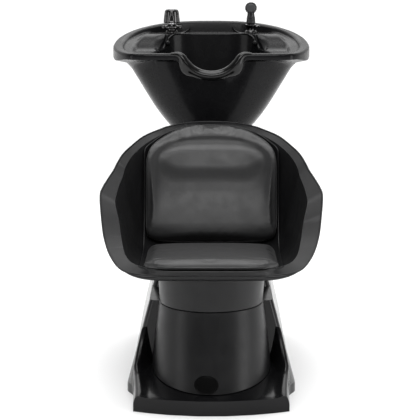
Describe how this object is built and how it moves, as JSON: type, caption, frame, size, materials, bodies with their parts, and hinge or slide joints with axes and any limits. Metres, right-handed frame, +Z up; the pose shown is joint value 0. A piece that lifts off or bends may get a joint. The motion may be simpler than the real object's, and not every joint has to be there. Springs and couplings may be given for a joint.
{
  "type": "shampoo backwash unit",
  "caption": "Bucket armchair on a moulded pedestal with a tilting neck-notch washbasin behind it, lever mixer, hand spray and cushions.",
  "frame": {"origin": "on the floor, at the middle of the unit's length and width", "axes": "+X across the unit, +Y from the seat's front lip to the basin's rear rim, +Z up"},
  "size_m": [0.632, 1.14, 1.093],
  "materials": {
    "gloss_black": "polished moulded plastic",
    "satin_black": "satin moulded plastic",
    "black_vinyl": "smooth upholstery vinyl",
    "plywood": "raw plywood",
    "frame_steel": "black powder coat",
    "zinc_steel": "zinc plated",
    "black_chrome": "black chrome",
    "bright_chrome": "bright chrome",
    "white_plastic": "polypropylene",
    "soft_black": "soft moulded gel",
    "black_rubber": "rubber",
    "spray_black": "polished plastic",
    "spray_grey": "moulded plastic"
  },
  "bodies": {
    "base": {"steel_chassis": "frame_steel", "floor_plate": "gloss_black", "pedestal_housing": "gloss_black", "front_cover": "satin_black", "cover_clips": "frame_steel", "oval_badge": "gloss_black", "seat_collar": "satin_black", "seat_post": "frame_steel", "seat_mount_plate": "frame_steel", "seat_mount_bolts": "zinc_steel", "seat_shell": "satin_black", "shell_insert": "satin_black", "seat_cushion_board": "plywood", "seat_cushion": "black_vinyl", "back_cushion_board": "plywood", "back_cushion": "black_vinyl", "rear_hatch": "gloss_black", "hatch_screws": "zinc_steel", "bowl_bracket": "frame_steel", "bracket_bolts": "zinc_steel", "pivot_pins": "frame_steel", "pivot_washers": "zinc_steel", "pivot_nut": "zinc_steel", "waste_trap": "white_plastic", "trap_slip_nuts": "white_plastic", "waste_outlet_pipe": "white_plastic", "inlet_nipples": "bright_chrome", "inlet_lock_nuts": "zinc_steel"},
    "bowl": {"bowl": "gloss_black", "neck_rest": "soft_black", "bowl_cradle": "frame_steel", "cradle_screws": "zinc_steel", "drain_flange": "bright_chrome", "drain_gasket": "black_rubber", "drain_lock_nut": "white_plastic", "mixer_body": "black_chrome", "mixer_gasket": "black_rubber", "mixer_lock_nut": "zinc_steel", "spray_holder": "black_chrome", "spray_gasket": "black_rubber", "spray_holder_nut": "zinc_steel"},
    "mixer_stem": {"mixer_stem": "bright_chrome"},
    "mixer_knob": {"mixer_knob": "black_chrome", "knob_cap": "bright_chrome"},
    "spray": {"spray_handle": "spray_black", "spray_head": "spray_black", "spray_face": "spray_grey", "spray_hose_nut": "bright_chrome"},
    "strainer": {"hair_strainer": "bright_chrome"},
    "tilt_knob": {"tilt_knob": "black_rubber"}
  },
  "joints": [
    {"name": "bowl_tilt", "type": "hinge", "parent": "base", "child": "bowl", "pos_m": [0, 0.3, 0.645], "axis": [1, 0, 0], "range_deg": [0, 10]},
    {"name": "mixer_flow", "type": "slide", "parent": "bowl", "child": "mixer_stem", "axis": [0, 0, 1], "range_m": [0, 0.008]},
    {"name": "mixer_temperature", "type": "hinge", "parent": "mixer_stem", "child": "mixer_knob", "pos_m": [-0.13, 0.458, 1.03], "axis": [0, 0, 1], "range_deg": [-60, 60]},
    {"name": "spray_lift", "type": "slide", "parent": "bowl", "child": "spray", "axis": [0, 0, 1], "range_m": [0, 0.25]},
    {"name": "strainer_lift", "type": "slide", "parent": "bowl", "child": "strainer", "axis": [0, 0, 1], "range_m": [0, 0.12]},
    {"name": "tilt_lock", "type": "hinge", "parent": "base", "child": "tilt_knob", "pos_m": [0.1, 0.3, 0.645], "axis": [1, 0, 0], "range_deg": [0, 180]}
  ]
}
